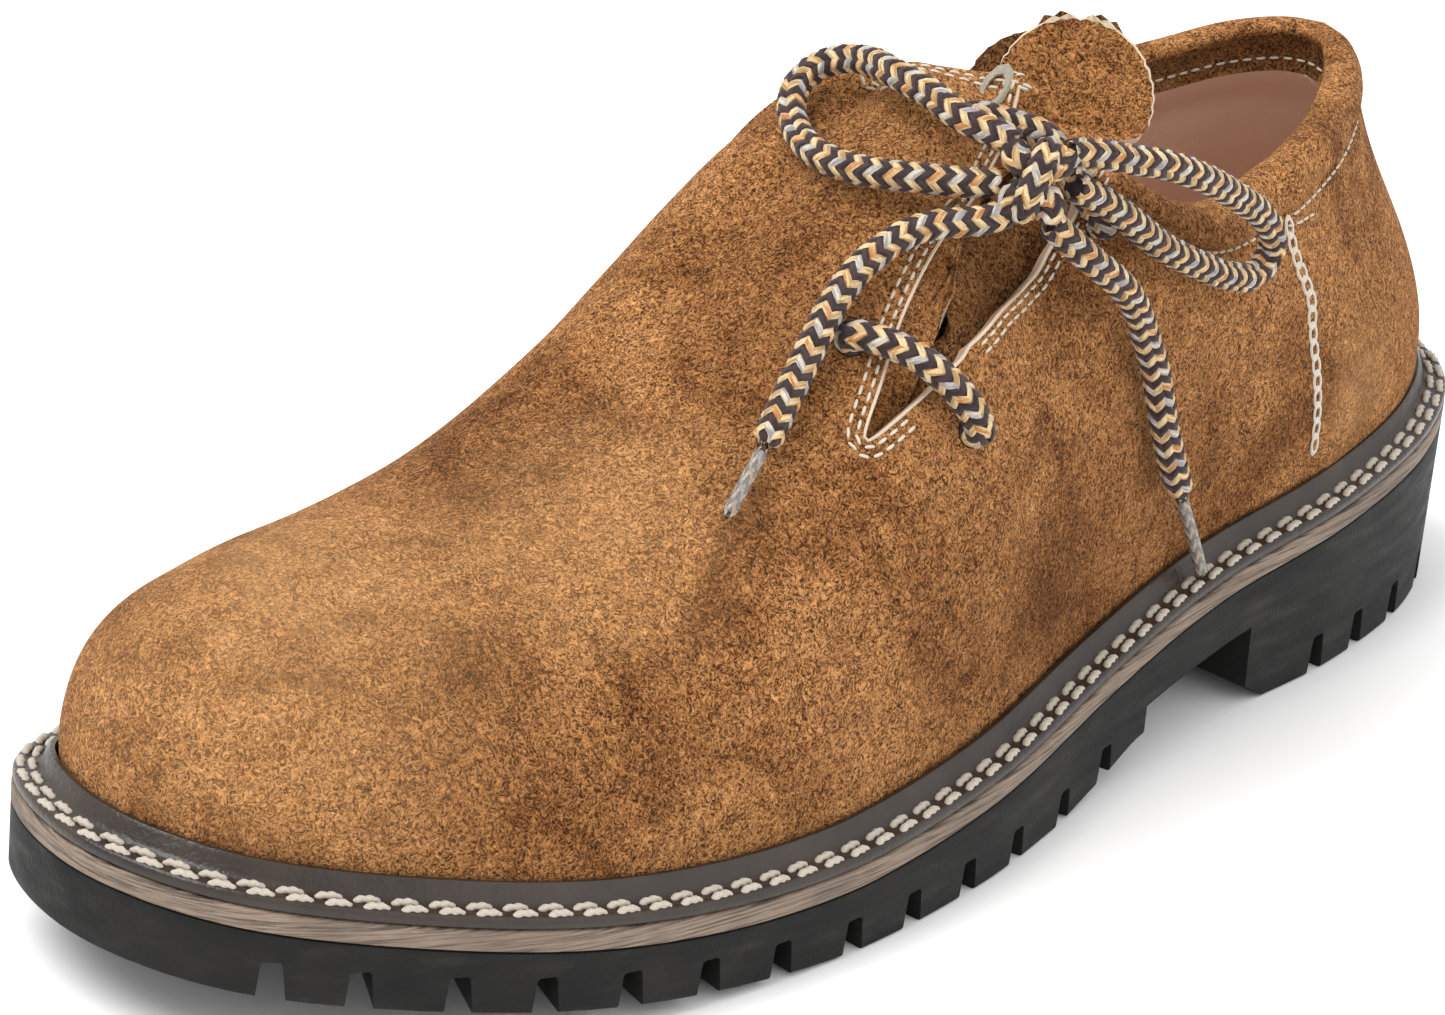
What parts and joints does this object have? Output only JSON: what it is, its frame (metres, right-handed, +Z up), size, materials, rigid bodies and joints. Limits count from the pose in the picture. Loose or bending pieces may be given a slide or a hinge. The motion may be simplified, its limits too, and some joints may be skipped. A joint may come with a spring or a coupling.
{
  "type": "haferl shoe",
  "caption": "Low suede walking shoe for the left foot, side-laced over an open gap, with a welted lug sole and a padded collar.",
  "frame": {"origin": "on the floor, under the middle of the sole's bounding box", "axes": "toe towards -Y, heel towards +Y, the outer side of the foot towards +X, +Z up"},
  "size_m": [0.1059, 0.305, 0.122],
  "materials": {
    "outsole_rubber": "matte black moulded rubber",
    "midsole_layer": "grey-brown layer with a fine lengthwise grain",
    "welt_leather": "dark brown, polished",
    "lining_leather": "smooth beige",
    "upper_suede": "tan suede with a short nap",
    "tongue_suede": "tan suede",
    "lace_braid": "round braid in dark brown, cream and orange",
    "aglet_plastic": "clear"
  },
  "bodies": {
    "root": {"outsole": "outsole_rubber", "midsole": "midsole_layer", "welt": "welt_leather", "insole": "lining_leather", "upper": "upper_suede", "tongue": "tongue_suede", "lace_bar_low": "lace_braid", "lace_bar_top": "lace_braid", "lace_knot": "lace_braid", "lace_loop_front": "lace_braid", "lace_loop_back": "lace_braid", "lace_end_front": "lace_braid", "lace_end_back": "lace_braid", "aglet_front": "aglet_plastic", "aglet_back": "aglet_plastic", "facing": "tongue_suede"}
  },
  "joints": []
}
